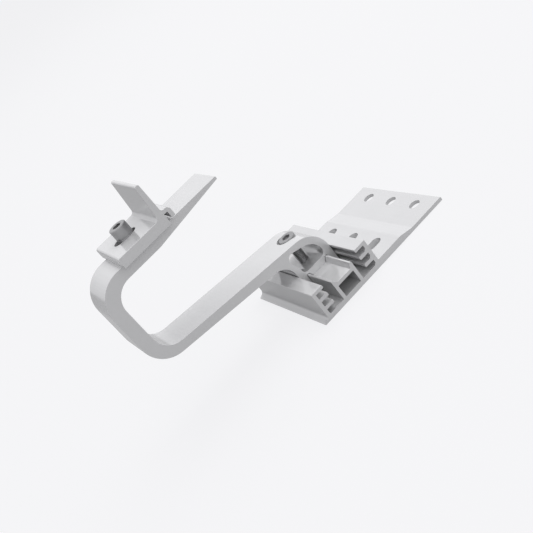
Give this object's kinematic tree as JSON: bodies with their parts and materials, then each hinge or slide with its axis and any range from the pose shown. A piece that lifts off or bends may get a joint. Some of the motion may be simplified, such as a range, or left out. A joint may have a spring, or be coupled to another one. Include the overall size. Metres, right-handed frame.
{
  "type": "solar roof hook",
  "caption": "Roof hook with a grooved base rail and screw plate, a flat U-shaped arm clamped in the rail by its ring foot, and a rail clamp on the arm.",
  "frame": {"origin": "on the rail's underside, at the middle of its width, under the foot screw", "axes": "+X up the roof slope, +Y across the slope along the rail, +Z away from the rafter"},
  "size_m": [0.2274, 0.1, 0.1572],
  "materials": {
    "rail_aluminium": "satin, extruded",
    "arm_aluminium": "satin, extruded",
    "clamp_aluminium": "satin, extruded",
    "screw_steel": "dull stainless steel"
  },
  "bodies": {
    "root": {"base_rail": "rail_aluminium", "hook_arm": "arm_aluminium", "rail_clamp": "clamp_aluminium", "foot_screw": "screw_steel", "clamp_screw": "screw_steel"}
  },
  "joints": []
}
